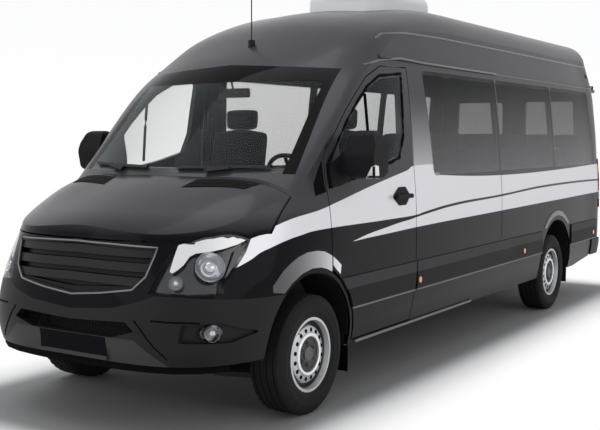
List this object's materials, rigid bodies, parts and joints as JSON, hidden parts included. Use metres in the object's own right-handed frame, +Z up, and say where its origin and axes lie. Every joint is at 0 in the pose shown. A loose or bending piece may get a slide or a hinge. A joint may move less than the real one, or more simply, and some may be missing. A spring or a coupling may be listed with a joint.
{
  "type": "minibus",
  "caption": "Long high-roof minibus with hinged front and rear doors, opening hood, steered front wheels, seat rows and a roof air-conditioning unit.",
  "frame": {"origin": "centre of the overall box at the road, under the middle of the vehicle", "axes": "+Y towards the back along the vehicle, +X towards the vehicle's left, +Z up"},
  "size_m": [2.4246, 6.9457, 2.81],
  "materials": {
    "dark_paint": "metallic, gloss",
    "clear_glass": "clear",
    "tinted_glass": "tinted",
    "black_plastic": "fine grain",
    "pale_plastic": "gloss",
    "lamp": "clear, chrome behind",
    "red_lamp": "clear red",
    "amber_lamp": "clear amber",
    "underbody": "matt coating",
    "iron": "as cast",
    "steel": "satin",
    "rim_steel": "silver, satin",
    "seat_cloth": "woven",
    "tyre": "matt"
  },
  "bodies": {
    "vehicle": {"floor_pan": "underbody", "roof_panel": "dark_paint", "side_wall_left": "dark_paint", "side_wall_right": "dark_paint", "sliding_door": "dark_paint", "side_glass": "tinted_glass", "front_body": "dark_paint", "windscreen": "clear_glass", "front_bumper": "black_plastic", "grille": "black_plastic", "front_lamps": "lamp", "tail_lamps": "red_lamp", "rear_bumper": "black_plastic", "trim_strips": "black_plastic", "side_markers": "amber_lamp", "wheel_liners": "black_plastic", "front_suspension": "underbody", "rear_axle": "underbody", "powertrain": "iron", "radiator": "underbody", "exhaust": "steel", "fuel_tank": "black_plastic", "dashboard": "black_plastic", "cab_seats": "seat_cloth", "cabin_seats": "seat_cloth", "roof_unit": "pale_plastic", "antenna": "black_plastic", "wipers": "black_plastic"},
    "knuckle_left": {"knuckle_left": "iron"},
    "knuckle_right": {"knuckle_right": "iron"},
    "wheel_front_left": {"tyre_front_left": "tyre", "rim_front_left": "rim_steel"},
    "wheel_front_right": {"tyre_front_right": "tyre", "rim_front_right": "rim_steel"},
    "wheel_rear_left": {"tyre_rear_left": "tyre", "rim_rear_left": "rim_steel"},
    "wheel_rear_right": {"tyre_rear_right": "tyre", "rim_rear_right": "rim_steel"},
    "front_door_left": {"front_door_left": "dark_paint", "door_glass_left": "clear_glass", "door_trim_left": "black_plastic"},
    "front_door_right": {"front_door_right": "dark_paint", "door_glass_right": "clear_glass", "door_trim_right": "black_plastic"},
    "rear_door_left": {"rear_door_left": "dark_paint", "rear_glass_left": "tinted_glass"},
    "rear_door_right": {"rear_door_right": "dark_paint", "rear_glass_right": "tinted_glass"},
    "hood": {"hood": "dark_paint"},
    "steering_wheel": {"steering_wheel": "black_plastic"}
  },
  "joints": [
    {"name": "steer_left", "type": "hinge", "parent": "vehicle", "child": "knuckle_left", "pos_m": [0.79, -2.4685, 0.356], "axis": [0, 0, 1], "range_deg": [-35, 35]},
    {"name": "steer_right", "type": "hinge", "parent": "vehicle", "child": "knuckle_right", "pos_m": [-0.79, -2.4685, 0.356], "axis": [0, 0, 1], "range_deg": [-35, 35]},
    {"name": "spin_front_left", "type": "hinge", "parent": "knuckle_left", "child": "wheel_front_left", "pos_m": [0.855, -2.4685, 0.356], "axis": [1, 0, 0], "continuous": true},
    {"name": "spin_front_right", "type": "hinge", "parent": "knuckle_right", "child": "wheel_front_right", "pos_m": [-0.855, -2.4685, 0.356], "axis": [1, 0, 0], "continuous": true},
    {"name": "spin_rear_left", "type": "hinge", "parent": "vehicle", "child": "wheel_rear_left", "pos_m": [0.858, 1.8565, 0.356], "axis": [1, 0, 0], "continuous": true},
    {"name": "spin_rear_right", "type": "hinge", "parent": "vehicle", "child": "wheel_rear_right", "pos_m": [-0.858, 1.8565, 0.356], "axis": [1, 0, 0], "continuous": true},
    {"name": "front_door_left_hinge", "type": "hinge", "parent": "vehicle", "child": "front_door_left", "pos_m": [0.967, -2.2155, 1], "axis": [0, 0, -1], "range_deg": [0, 65]},
    {"name": "front_door_right_hinge", "type": "hinge", "parent": "vehicle", "child": "front_door_right", "pos_m": [-0.967, -2.2155, 1], "axis": [0, 0, 1], "range_deg": [0, 65]},
    {"name": "rear_door_left_hinge", "type": "hinge", "parent": "vehicle", "child": "rear_door_left", "pos_m": [0.851, 3.4525, 1.3], "axis": [0, 0, -1], "range_deg": [0, 180]},
    {"name": "rear_door_right_hinge", "type": "hinge", "parent": "vehicle", "child": "rear_door_right", "pos_m": [-0.851, 3.4525, 1.3], "axis": [0, 0, 1], "range_deg": [0, 180]},
    {"name": "hood_hinge", "type": "hinge", "parent": "vehicle", "child": "hood", "pos_m": [0, -2.5435, 1.372], "axis": [-1, 0, 0], "range_deg": [0, 55]},
    {"name": "steering_wheel_turn", "type": "hinge", "parent": "vehicle", "child": "steering_wheel", "pos_m": [0.43, -1.8485, 1.36], "axis": [0, 0.829, 0.5592], "range_deg": [-490, 490]}
  ],
  "couplings": [
    {"joint": "steer_right", "follows": "steer_left", "ratio": 1},
    {"joint": "steering_wheel_turn", "follows": "steer_left", "ratio": 14}
  ]
}
